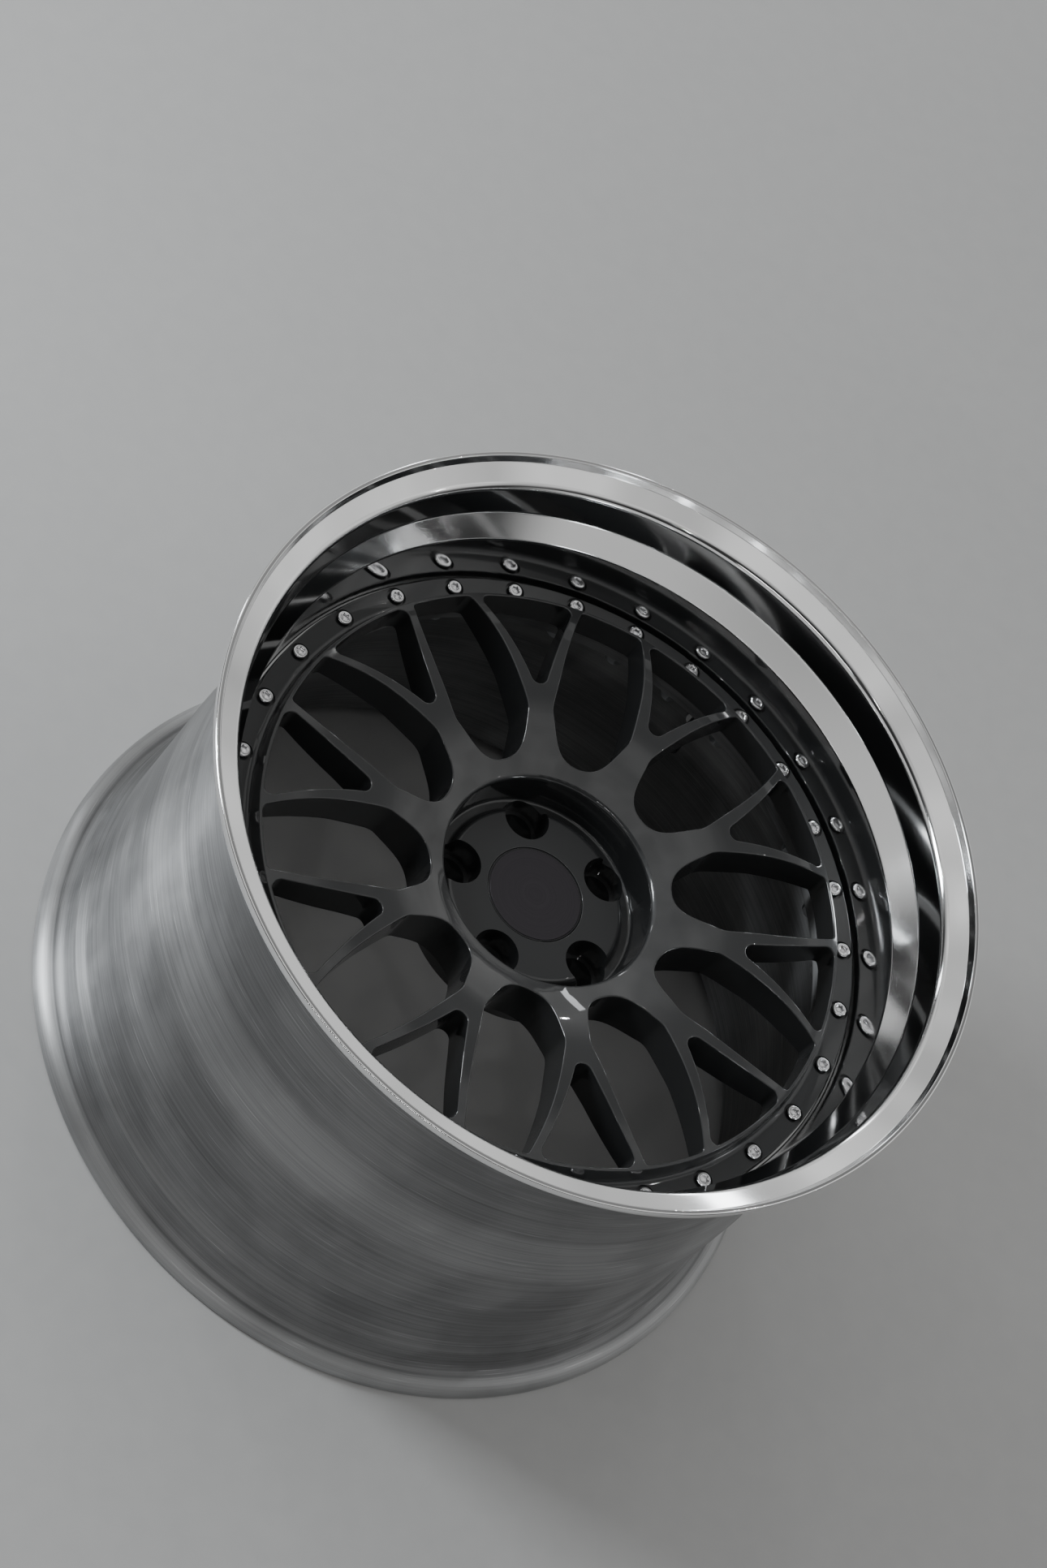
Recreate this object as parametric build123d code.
from build123d import *
import os
from math import cos, degrees, radians, sin, sqrt, tan

# Deep-lip forged wheel: a ten-Y-spoke centre disc bolted from the front onto a mounting flange
# inside a one-piece stepped rim. Millimetres. The origin is the centre of the stud circle, on the
# hub mounting face; +Z is the wheel's axis and points outboard, out of the front lip.

# ---------------------------------------------------------------- the rim's standard sizes
bead_seat_diameter = 512.8
rim_width = 304.8
flange_height = 17.5
flange_width = 12.5
wheel_offset = 15.0

# ---------------------------------------------------------------- the rim's own shape
flange_curl_radius = 9.5
bead_corner_radius = 6.5
bead_seat_width = 18.0
bead_seat_taper = 5.0
hump_height = 1.4
hump_spacing = 4.0
bead_ring_width = 3.3
lip_step_depth = 5.2
lip_slope_rise = 6.8
lip_top_inset = 3.4
lip_mid_inset = 8.5
lip_mid_depth = 36.1
lip_foot_inset = 19.8
lip_foot_depth = 53.6
lip_wall_inset = 23.9
front_well_inset = 11.9
rear_well_inset = 5.9
front_well_start = 52.0
well_cone_start = 4.5
well_cone_length = 52.0
barrel_wall = 6.0
mounting_flange_thickness = 12.0
mounting_flange_width = 18.1
register_height = 3.5
register_clearance = 0.1

# ---------------------------------------------------------------- the centre disc
seat_height = 42.4
disc_edge_gap = 2.0
disc_flange_thickness = 12.0
ring_height = 14.1
ring_outer_inset = 19.7
ring_foot_width = 2.3
ring_foot_radius = 4.5
ring_top_width = 2.4
crown_along_spoke = 0.6353
crown_height = 76.5
hub_face_height = 58.7
recess_radius = 75.9
recess_draft = 1.6
boss_height = 37.3
boss_radius = 65.5
trench_depth = 7.5
pad_radius = 77.0
hub_skirt_radius = 80.0
hub_skirt_height = 22.0
spoke_root_height = 44.0
root_along_spoke = 0.364
spoke_underside_height = 49.5
underside_along_spoke = 0.6012
window_edge_radius = 0.9

petal_count = 10
petal_inner_gap = 13.1
petal_widest_along_spoke = 0.5493
petal_mouth_angle = 12.5
petal_corner_radius = 4.0
fork_apex_along_spoke = 0.3788
fork_apex_radius = 6.2
spoke_shoulder_width = 36.4
spoke_arm_width = 6.25
fork_side_bow = 2.4
fork_corner_radius = 5.5
stem_angle = 90.0

# ---------------------------------------------------------------- the car's hub
hub_bore_radius = 36.55
hub_bore_depth = 14.0
stud_circle_diameter = 114.3
stud_count = 5
stud_hole_radius = 7.5
nut_pocket_radius = 16.2
nut_pocket_depth = 21.4
nut_seat_radius = 13.2
nut_seat_half_angle = 30.0

# ---------------------------------------------------------------- assembly bolts
bolt_count = 30
bolt_edge_inset = 7.8
bolt_shank_radius = 3.95
bolt_hole_clearance = 0.25
bolt_head_radius = 5.2
bolt_head_height = 5.0
bolt_head_round = 1.4
bolt_socket_flats = 5.0
bolt_socket_depth = 2.6
bolt_pocket_radius = 7.0
bolt_pocket_depth = 2.8
bolt_tip_length = 2.5
washer_radius = 8.0
washer_thickness = 1.6
nut_flats = 13.0
nut_hex_height = 6.0
nut_collar_height = 2.4
nut_collar_radius = 6.1
nut_insert_radius = 5.1
nut_insert_height = 2.0
thread_clearance = 0.02

# ---------------------------------------------------------------- centre cap
cap_bore_radius = 34.9
cap_clearance = 0.35
cap_ledge_width = 3.9
cap_skirt_wall = 4.0
cap_floor_thickness = 3.0
cap_rim_width = 1.2
cap_rim_drop = 0.3
cap_disc_thickness = 1.8
cap_disc_clearance = 0.05
o_ring_section_radius = 1.2
o_ring_groove_width = 2.7
o_ring_clearance = 0.05
o_ring_depths = (5.0, 11.0)

# ---------------------------------------------------------------- tyre valve
valve_angle = 47.0
valve_height = 2.0
valve_hole_radius = 5.65
valve_spot_radius = 10.0
valve_clamped_wall = 3.0
valve_head_radius = 8.0
valve_head_thickness = 3.0
valve_stem_radius = 4.0
valve_stem_length = 36.5
valve_thread_radius = 3.85
valve_thread_length = 9.0
valve_passage_radius = 1.6
grommet_radius = 8.5
grommet_thickness = 2.5
valve_fit_clearance = 0.05
valve_washer_radius = 8.0
valve_washer_thickness = 1.0
valve_nut_flats = 14.0
valve_nut_height = 6.0
core_chamber_radius = 2.55
core_chamber_depth = 23.0
core_body_length = 17.5
core_mouth_gap = 1.5
core_bore_radius = 1.35
core_pin_radius = 0.55
core_pin_gap = 0.8
core_pin_collar_radius = 1.2
core_pin_collar_height = 1.0
core_seal_radius = 1.9
core_seal_height = 1.5
core_pin_foot_height = 0.9
core_ledge_height = 4.0
core_slot_width = 0.9
gasket_height = 3.0
gasket_groove_depth = 0.55
spring_wire_radius = 0.16
spring_turns = 7
valve_cap_radius = 4.9
valve_cap_roof = 1.7
valve_cap_seal_height = 1.2
valve_cap_skirt = 8.0
valve_cap_grooves = 18
valve_cap_groove_radius = 0.35

# ---------------------------------------------------------------- places worked out from the sizes
bead_seat_radius = bead_seat_diameter / 2
flange_radius = bead_seat_radius + flange_height
front_z = rim_width / 2 + flange_width - wheel_offset
rear_z = front_z - rim_width - 2 * flange_width
lip_wall_radius = bead_seat_radius - lip_wall_inset
disc_radius = lip_wall_radius - disc_edge_gap
front_well_radius = bead_seat_radius - front_well_inset
rear_well_radius = bead_seat_radius - rear_well_inset
mounting_flange_radius = disc_radius - mounting_flange_width
mounting_flange_back = seat_height - mounting_flange_thickness
cone_start_z = mounting_flange_back - well_cone_start
cone_end_z = cone_start_z - well_cone_length
bolt_circle_radius = disc_radius - bolt_edge_inset
bolt_hole_radius = bolt_shank_radius + bolt_hole_clearance
bolt_head_seat = seat_height + disc_flange_thickness - bolt_pocket_depth
ring_outer_radius = disc_radius - ring_outer_inset
ring_top_height = seat_height + disc_flange_thickness + ring_height
window_outer_radius = ring_outer_radius - ring_top_width
spoke_length = ring_outer_radius - recess_radius
crown_position = recess_radius + crown_along_spoke * spoke_length
spoke_root_position = recess_radius + root_along_spoke * spoke_length
spoke_underside_position = recess_radius + underside_along_spoke * spoke_length
petal_widest_position = recess_radius + petal_widest_along_spoke * spoke_length
fork_apex_position = recess_radius + fork_apex_along_spoke * spoke_length
half_pitch = 180.0 / petal_count
arm_angle = degrees(spoke_arm_width / window_outer_radius)
fork_mouth_angle = 2 * (half_pitch - arm_angle) - petal_mouth_angle
petal_mouth_half_width = window_outer_radius * sin(radians(petal_mouth_angle / 2))
fork_mouth_half_width = window_outer_radius * sin(radians(fork_mouth_angle / 2))
petal_line_gap = petal_widest_position * sin(radians(half_pitch)) - spoke_shoulder_width / 2
petal_half_width = petal_line_gap / cos(radians(half_pitch))
cap_ledge_height = hub_bore_depth + 7.3
valve_spot_outer = front_well_radius + 0.6


def turned(points, radii):
    """Solid of revolution about Z from a closed outline of (radius, height) corners."""
    outline = make_face(FilletPolyline(*points, radius=radii, close=True))
    return revolve(Plane.XZ * outline, Axis.Z, 360)


def tube(outer, inner, bottom, height):
    """Plain ring about Z that stands on the height bottom."""
    wall = Circle(outer) - Circle(inner)
    return Pos(0, 0, bottom) * extrude(wall, height)


def rod(radius, bottom, height):
    """Plain cylinder about Z that stands on the height bottom."""
    return Pos(0, 0, bottom) * extrude(Circle(radius), height)


def around(radius, count, first_angle):
    """Places of a pattern that is spread evenly round the wheel's axis."""
    return PolarLocations(radius, count, start_angle=first_angle)


def repeated(shape, places):
    """Separate copies of one shape, kept as one group."""
    return Compound(children=[place * shape for place in places])


def bolt_places():
    return around(bolt_circle_radius, bolt_count, stem_angle)


# ---------------------------------------------------------------- rim
def bead_seat(edge_z, inward):
    """Corners of one bead seat and its safety hump; inward is the way to the middle of the rim."""
    fall = bead_seat_width * tan(radians(bead_seat_taper))
    seat_end_z = edge_z + inward * bead_seat_width
    hump_z = seat_end_z + inward * hump_spacing
    return [
        (bead_seat_radius, edge_z),
        (bead_seat_radius - fall, seat_end_z),
        (bead_seat_radius - fall + hump_height, hump_z),
    ]


def make_rim_barrel():
    front_seat_z = front_z - flange_width
    rear_seat_z = rear_z + flange_width
    bead_ring_radius = flange_radius - bead_ring_width
    lip_slope_start = bead_ring_radius - 2.2
    lip_top_radius = bead_seat_radius - lip_top_inset
    lip_top_depth = lip_step_depth + lip_slope_rise
    front_inner_radius = front_well_radius - barrel_wall
    rear_inner_radius = rear_well_radius - barrel_wall
    hump_foot_z = rear_seat_z + bead_seat_width + hump_spacing + 9.5

    front_seat = bead_seat(front_seat_z, -1)
    rear_seat = bead_seat(rear_seat_z, 1)
    tyre_side = [
        ((flange_radius, front_z), 1.4),
        ((flange_radius, front_seat_z), flange_curl_radius),
        (front_seat[0], bead_corner_radius),
        (front_seat[1], 6.0),
        (front_seat[2], 4.0),
        ((front_well_radius, front_z - front_well_start), 12.0),
        ((front_well_radius, cone_start_z), 60.0),
        ((rear_well_radius, cone_end_z), 60.0),
        ((rear_well_radius, hump_foot_z), 8.0),
        (rear_seat[2], 3.0),
        (rear_seat[1], 3.0),
        (rear_seat[0], bead_corner_radius),
        ((flange_radius, rear_seat_z), flange_curl_radius),
        ((flange_radius, rear_z), 2.4),
    ]
    brake_side = [
        ((bead_seat_radius + 5.0, rear_z), 5.0),
        ((rear_inner_radius, rear_seat_z + 4.0), 10.0),
        ((rear_inner_radius, cone_end_z - 1.0), 60.0),
        ((front_inner_radius, cone_start_z - 1.0), 20.0),
        ((front_inner_radius, mounting_flange_back), 4.0),
        ((mounting_flange_radius, mounting_flange_back), 1.0),
        ((mounting_flange_radius, seat_height), 0.8),
        ((disc_radius + register_clearance, seat_height), 0),
        ((disc_radius + register_clearance, seat_height + register_height), 0.4),
    ]
    lip_side = [
        ((lip_wall_radius, seat_height + register_height), 0.5),
        ((bead_seat_radius - lip_foot_inset, front_z - lip_foot_depth), 4.0),
        ((bead_seat_radius - lip_mid_inset, front_z - lip_mid_depth), 5.0),
        ((lip_top_radius, front_z - lip_top_depth), 7.0),
        ((lip_slope_start, front_z - lip_step_depth), 0.6),
        ((bead_ring_radius, front_z), 0.9),
    ]
    corners = tyre_side + brake_side + lip_side
    rim = turned([point for point, _ in corners], [radius for _, radius in corners])
    bolt_hole = rod(bolt_hole_radius, mounting_flange_back - 1, mounting_flange_thickness + 2)
    for place in bolt_places():
        rim -= place * bolt_hole
    valve_wall_top = valve_head_thickness + grommet_thickness + valve_clamped_wall
    outer_spot = rod(valve_spot_radius, -10, 10 + valve_head_thickness + grommet_thickness)
    inner_spot = rod(valve_spot_radius, valve_wall_top, 10)
    valve_hole = rod(valve_hole_radius, 0, valve_wall_top + 10)
    return rim - on_valve_axis(outer_spot + inner_spot + valve_hole)


# ---------------------------------------------------------------- centre disc
def petal_window():
    """Large window between two Y-spokes, its axis along +X."""
    inner = recess_radius + petal_inner_gap
    length = petal_widest_position - inner
    mouth_x = sqrt(window_outer_radius**2 - petal_mouth_half_width**2)
    widest = (petal_widest_position, petal_half_width)
    mouth_corner = (mouth_x, petal_mouth_half_width)
    nose = Spline(
        (inner, 0),
        (inner + 0.131 * length, 0.584 * petal_half_width),
        (inner + 0.382 * length, 0.868 * petal_half_width),
        widest,
        tangents=[(0, 1), (1, 0)],
    )
    side = TangentArc(widest, mouth_corner, tangent=(1, 0))
    half = Curve() + [nose, side]
    mouth = ThreePointArc(mouth_corner, (window_outer_radius, 0), (mouth_x, -petal_mouth_half_width))
    return rounded_window(half, mouth, mouth_corner, petal_corner_radius)


def fork_window():
    """Small window between the two arms of a Y-spoke, its axis along +X."""
    mouth_x = sqrt(window_outer_radius**2 - fork_mouth_half_width**2)
    apex = (fork_apex_position, 0)
    mouth_corner = (mouth_x, fork_mouth_half_width)
    middle = ((apex[0] + mouth_x) / 2 + 0.5 * fork_side_bow, fork_mouth_half_width / 2 - fork_side_bow)
    half = Curve() + [ThreePointArc(apex, middle, mouth_corner)]
    mouth = ThreePointArc(mouth_corner, (window_outer_radius, 0), (mouth_x, -fork_mouth_half_width))
    outline = rounded_window(half, mouth, mouth_corner, fork_corner_radius)
    apex_vertex = outline.vertices().sort_by_distance((*apex, 0))[0]
    return outline.fillet_2d(fork_apex_radius, [apex_vertex])


def rounded_window(half, mouth, mouth_corner, corner_radius):
    """Close a half outline with its mirror image and the mouth arc, and round the mouth's corners."""
    other_half = mirror(half, Plane.XZ)
    outline = make_face([*half.edges(), mouth, *other_half.edges()]).face()
    x, y = mouth_corner
    ends = [outline.vertices().sort_by_distance((x, side * y, 0))[0] for side in (1, -1)]
    return outline.fillet_2d(corner_radius, ends)


def disc_blank():
    """The turned forging, before its windows are milled."""
    flange_top = seat_height + disc_flange_thickness
    trench_z = boss_height - trench_depth
    ledge_radius = cap_bore_radius - cap_ledge_width
    edge = [
        (ring_outer_radius, ring_top_height),
        (ring_outer_radius + ring_foot_width, flange_top),
        (disc_radius, flange_top),
        (disc_radius, seat_height),
        (ring_outer_radius + 0.8, seat_height),
        (ring_outer_radius - 5.7, spoke_underside_height),
        (spoke_underside_position, spoke_underside_height),
        (spoke_root_position, spoke_root_height),
        (hub_skirt_radius, hub_skirt_height),
        (pad_radius, 0),
        (hub_bore_radius, 0),
        (hub_bore_radius, hub_bore_depth),
        (ledge_radius, hub_bore_depth),
        (ledge_radius, cap_ledge_height),
        (cap_bore_radius, cap_ledge_height),
        (cap_bore_radius, boss_height),
        (boss_radius, boss_height),
        (boss_radius, trench_z),
        (recess_radius - recess_draft, trench_z),
        (recess_radius, hub_face_height),
    ]
    face_arc = ThreePointArc(edge[-1], (crown_position, crown_height), edge[0])
    outline = make_face([*Polyline(*edge).edges(), face_arc]).face()
    rounds = {0: 0.8, 1: ring_foot_radius, 2: 1.0, 4: 1.0, 5: 2.0, 6: 60.0, 7: 40.0, 8: 6.0, 9: 1.5}
    rounds |= {15: 0.5, 16: 4.4, 17: 2.4, 18: 2.4, 19: 4.5}
    for corner, radius in rounds.items():
        vertex = outline.vertices().sort_by_distance((*edge[corner], 0))[0]
        outline = outline.fillet_2d(radius, [vertex])
    return revolve(Plane.XZ * outline, Axis.Z, 360)


def make_centre_disc():
    disc = disc_blank()
    cut_height = crown_height + 10
    petal = Pos(0, 0, -1) * extrude(petal_window(), cut_height)
    fork = Pos(0, 0, -1) * extrude(fork_window(), cut_height)
    cutters = []
    for index in range(petal_count):
        spoke = stem_angle + index * 2 * half_pitch
        cutters += [Rot(0, 0, spoke) * fork, Rot(0, 0, spoke + half_pitch) * petal]
    disc = disc - cutters
    rims = disc.edges().filter_by(is_window_rim)
    disc = fillet(rims, window_edge_radius)

    hole = rod(bolt_hole_radius, seat_height - 1, disc_flange_thickness + 2)
    pocket = rod(bolt_pocket_radius, bolt_head_seat, ring_height)
    disc = disc - [place * (hole + pocket) for place in bolt_places()]

    seat_z = boss_height - nut_pocket_depth
    seat_depth = (nut_seat_radius - stud_hole_radius) / tan(radians(nut_seat_half_angle))
    nut_pocket = rod(nut_pocket_radius, seat_z, hub_face_height)
    cone = Cone(stud_hole_radius, nut_seat_radius, seat_depth, align=(Align.CENTER, Align.CENTER, Align.MAX))
    nut_seat = Pos(0, 0, seat_z) * cone
    stud_hole = rod(stud_hole_radius, -1, seat_z)
    lug = nut_pocket + nut_seat + stud_hole
    studs = around(stud_circle_diameter / 2, stud_count, stem_angle)
    return disc - [place * lug for place in studs]


def is_window_rim(edge):
    """True for the windows' edges on the spokes' front faces."""
    centre = edge.position_at(0.5)
    radius = sqrt(centre.X**2 + centre.Y**2)
    inside = recess_radius + petal_inner_gap / 2 < radius < window_outer_radius + 0.5
    return inside and edge.bounding_box().min.Z > hub_face_height


# ---------------------------------------------------------------- assembly bolts
def make_assembly_bolts():
    nut_height = nut_hex_height + nut_collar_height
    shank_end = mounting_flange_back - washer_thickness - nut_height - bolt_tip_length
    head_top = bolt_head_seat + bolt_head_height
    outline = [
        (0, shank_end),
        (bolt_shank_radius, shank_end),
        (bolt_shank_radius, bolt_head_seat),
        (bolt_head_radius, bolt_head_seat),
        (bolt_head_radius, head_top),
        (0, head_top),
    ]
    bolt = turned(outline, [0, 0.8, 0, 0.3, bolt_head_round, 0])
    socket = extrude(RegularPolygon(bolt_socket_flats / 2, 6, major_radius=False), bolt_socket_depth)
    floor_cone = Cone(0.1, bolt_socket_flats / 2, 0.9, align=(Align.CENTER, Align.CENTER, Align.MAX))
    bolt -= Pos(0, 0, head_top - bolt_socket_depth) * (socket + floor_cone)
    return repeated(bolt, bolt_places())


def make_bolt_washers():
    bottom = mounting_flange_back - washer_thickness
    washer = tube(washer_radius, bolt_hole_radius, bottom, washer_thickness)
    return repeated(washer, bolt_places())


def make_lock_nuts():
    bore = bolt_shank_radius + thread_clearance
    top = mounting_flange_back - washer_thickness
    collar_bottom = top - nut_hex_height - nut_collar_height
    hexagon = extrude(RegularPolygon(nut_flats / 2, 6, major_radius=False), nut_hex_height)
    crown = rod(nut_flats / 2 + 0.75, 0, nut_hex_height)
    body = Pos(0, 0, top - nut_hex_height) * (hexagon & chamfer(crown.edges(), 0.6))
    collar = rod(nut_collar_radius, collar_bottom, nut_collar_height)
    pocket = rod(nut_insert_radius, collar_bottom + 0.2, nut_insert_height)
    return repeated(body + collar - pocket - rod(bore, collar_bottom - 1, 20), bolt_places())


def make_lock_nut_inserts():
    top = mounting_flange_back - washer_thickness
    bottom = top - nut_hex_height - nut_collar_height + 0.2
    inner = bolt_shank_radius + thread_clearance
    ring = tube(nut_insert_radius, inner, bottom, nut_insert_height)
    return repeated(ring, bolt_places())


# ---------------------------------------------------------------- centre cap
def make_centre_cap_body():
    outer = cap_bore_radius - cap_clearance
    top = boss_height - cap_rim_drop
    inset = outer - cap_rim_width
    disc_floor = boss_height - cap_disc_thickness
    inner = outer - cap_skirt_wall
    outline = [
        (0, disc_floor),
        (0, disc_floor - cap_floor_thickness),
        (inner, disc_floor - cap_floor_thickness),
        (inner, cap_ledge_height),
        (outer, cap_ledge_height),
        (outer, top),
        (inset, top),
        (inset, disc_floor),
    ]
    cap = turned(outline, [0, 0, 1.0, 0.3, 0.6, 0.3, 0.2, 0])
    groove_floor = cap_bore_radius - o_ring_clearance - 2 * o_ring_section_radius - 0.05
    for depth in o_ring_depths:
        bottom = boss_height - depth - o_ring_groove_width / 2
        cap -= tube(outer + 1, groove_floor, bottom, o_ring_groove_width)
    return cap


def make_centre_cap_disc():
    radius = cap_bore_radius - cap_clearance - cap_rim_width - cap_disc_clearance
    blank = rod(radius, boss_height - cap_disc_thickness, cap_disc_thickness)
    return fillet(blank.edges().group_by(Axis.Z)[-1], 0.35)


def make_cap_o_rings():
    centre = cap_bore_radius - o_ring_clearance - o_ring_section_radius
    ring = Torus(centre, o_ring_section_radius)
    return Compound(children=[Pos(0, 0, boss_height - depth) * ring for depth in o_ring_depths])


# ---------------------------------------------------------------- tyre valve, built up along +Z
def on_valve_axis(shape):
    """Move a piece from its own +Z axis to the valve's place, where +Z points at the wheel's axis."""
    base = valve_spot_outer + grommet_thickness + valve_head_thickness
    direction = (cos(radians(valve_angle)), sin(radians(valve_angle)))
    origin = (base * direction[0], base * direction[1], valve_height)
    return Plane(origin=origin, x_dir=(0, 0, 1), z_dir=(-direction[0], -direction[1], 0)) * shape


wall_bottom = valve_head_thickness + grommet_thickness
wall_top = wall_bottom + valve_clamped_wall
stem_tip = wall_top + valve_stem_length
chamber_bottom = stem_tip - core_chamber_depth
core_top = stem_tip - core_mouth_gap
core_bottom = core_top - core_body_length
spring_seat = core_bottom + core_ledge_height
pin_tip = stem_tip - core_pin_gap
pin_collar_bottom = pin_tip - 3.0


def make_valve_stem():
    outline = [
        (valve_passage_radius, 0),
        (valve_head_radius, 0),
        (valve_head_radius, valve_head_thickness),
        (valve_stem_radius, valve_head_thickness),
        (valve_stem_radius, stem_tip - valve_thread_length),
        (valve_thread_radius, stem_tip - valve_thread_length),
        (valve_thread_radius, stem_tip),
        (core_chamber_radius, stem_tip),
        (core_chamber_radius, chamber_bottom),
        (valve_passage_radius, chamber_bottom - 1.5),
    ]
    return on_valve_axis(turned(outline, [0, 1.2, 0.4, 0.3, 0, 0, 0.5, 0.3, 0, 0]))


def make_valve_grommet():
    bore = valve_stem_radius + valve_fit_clearance
    flange = tube(grommet_radius, bore, valve_head_thickness, grommet_thickness)
    flange = fillet(flange.edges().group_by(Axis.Z)[0], 0.3)
    neck = tube(valve_hole_radius - valve_fit_clearance, bore, wall_bottom, valve_clamped_wall)
    return on_valve_axis(flange + neck)


def make_valve_washer():
    bore = valve_stem_radius + valve_fit_clearance
    return on_valve_axis(tube(valve_washer_radius, bore, wall_top, valve_washer_thickness))


def make_valve_nut():
    bore = valve_stem_radius + thread_clearance
    hexagon = extrude(RegularPolygon(valve_nut_flats / 2, 6, major_radius=False), valve_nut_height)
    crown = chamfer(rod(valve_nut_flats / 2 + 0.8, 0, valve_nut_height).edges(), 0.7)
    nut = (hexagon & crown) - rod(bore, -1, valve_nut_height + 2)
    return on_valve_axis(Pos(0, 0, wall_top + valve_washer_thickness) * nut)


def core_body_radius():
    return core_chamber_radius - valve_fit_clearance


def make_valve_core_body():
    outer = core_body_radius()
    groove = outer - gasket_groove_depth
    pin_way = core_pin_radius + 2 * valve_fit_clearance
    outline = [
        (pin_way, core_bottom),
        (groove, core_bottom),
        (groove, core_bottom + gasket_height),
        (outer, core_bottom + gasket_height),
        (outer, core_top),
        (core_bore_radius, core_top),
        (core_bore_radius, spring_seat),
        (pin_way, spring_seat),
    ]
    body = turned(outline, [0, 0.2, 0, 0.3, 0.3, 0.2, 0, 0])
    slot = Box(2 * outer + 1, core_slot_width, 3.0)
    return on_valve_axis(body - Pos(0, 0, core_top) * slot)


def make_valve_core_gasket():
    outer = core_body_radius() + valve_fit_clearance / 2
    inner = core_body_radius() - gasket_groove_depth
    return on_valve_axis(tube(outer, inner, core_bottom, gasket_height))


def make_valve_core_pin():
    seal_bottom = core_bottom - core_seal_height
    outline = [
        (0, seal_bottom - core_pin_foot_height),
        (core_pin_collar_radius, seal_bottom - core_pin_foot_height),
        (core_pin_collar_radius, seal_bottom),
        (core_pin_radius, seal_bottom),
        (core_pin_radius, pin_collar_bottom),
        (core_pin_collar_radius, pin_collar_bottom),
        (core_pin_collar_radius, pin_collar_bottom + core_pin_collar_height),
        (core_pin_radius, pin_collar_bottom + core_pin_collar_height),
        (core_pin_radius, pin_tip),
        (0, pin_tip),
    ]
    return on_valve_axis(turned(outline, [0, 0.3, 0, 0, 0, 0.1, 0.2, 0, 0.2, 0]))


def make_valve_core_seal():
    bottom = core_bottom - core_seal_height
    return on_valve_axis(tube(core_seal_radius, core_pin_radius, bottom, core_seal_height))


def make_valve_core_spring():
    coil_radius = (core_bore_radius + core_pin_radius) / 2
    height = pin_collar_bottom - spring_seat - 2 * spring_wire_radius - 0.04
    path = Helix(pitch=height / spring_turns, height=height, radius=coil_radius)
    section = (path ^ 0) * Circle(spring_wire_radius)
    coil = sweep(section, path=path)
    return on_valve_axis(Pos(0, 0, spring_seat + spring_wire_radius + 0.02) * coil)


def make_valve_cap():
    roof_bottom = stem_tip + valve_cap_seal_height
    bore = valve_thread_radius + valve_fit_clearance
    outline = [
        (0, roof_bottom),
        (bore, roof_bottom),
        (bore, stem_tip - valve_cap_skirt),
        (valve_cap_radius, stem_tip - valve_cap_skirt),
        (valve_cap_radius, roof_bottom + valve_cap_roof),
        (0, roof_bottom + valve_cap_roof),
    ]
    cap = turned(outline, [0, 0, 0.2, 0.4, 0.8, 0])
    groove = rod(valve_cap_groove_radius, stem_tip - valve_cap_skirt + 1.2, valve_cap_skirt - 1.0)
    grooves = [place * groove for place in around(valve_cap_radius, valve_cap_grooves, 0)]
    return on_valve_axis(cap - grooves)


def make_valve_cap_seal():
    radius = valve_thread_radius - valve_fit_clearance
    return on_valve_axis(rod(radius, stem_tip, valve_cap_seal_height))


pieces = {
    "centre_disc": make_centre_disc,
    "rim_barrel": make_rim_barrel,
    "assembly_bolts": make_assembly_bolts,
    "bolt_washers": make_bolt_washers,
    "bolt_lock_nuts": make_lock_nuts,
    "lock_nut_inserts": make_lock_nut_inserts,
    "centre_cap_body": make_centre_cap_body,
    "centre_cap_disc": make_centre_cap_disc,
    "cap_o_rings": make_cap_o_rings,
    "valve_stem": make_valve_stem,
    "valve_grommet": make_valve_grommet,
    "valve_washer": make_valve_washer,
    "valve_nut": make_valve_nut,
    "valve_core_body": make_valve_core_body,
    "valve_core_gasket": make_valve_core_gasket,
    "valve_core_pin": make_valve_core_pin,
    "valve_core_seal": make_valve_core_seal,
    "valve_core_spring": make_valve_core_spring,
    "valve_cap": make_valve_cap,
    "valve_cap_seal": make_valve_cap_seal,
}

os.makedirs("parts", exist_ok=True)
for name, make in pieces.items():
    export_step(make(), f"parts/{name}.step")
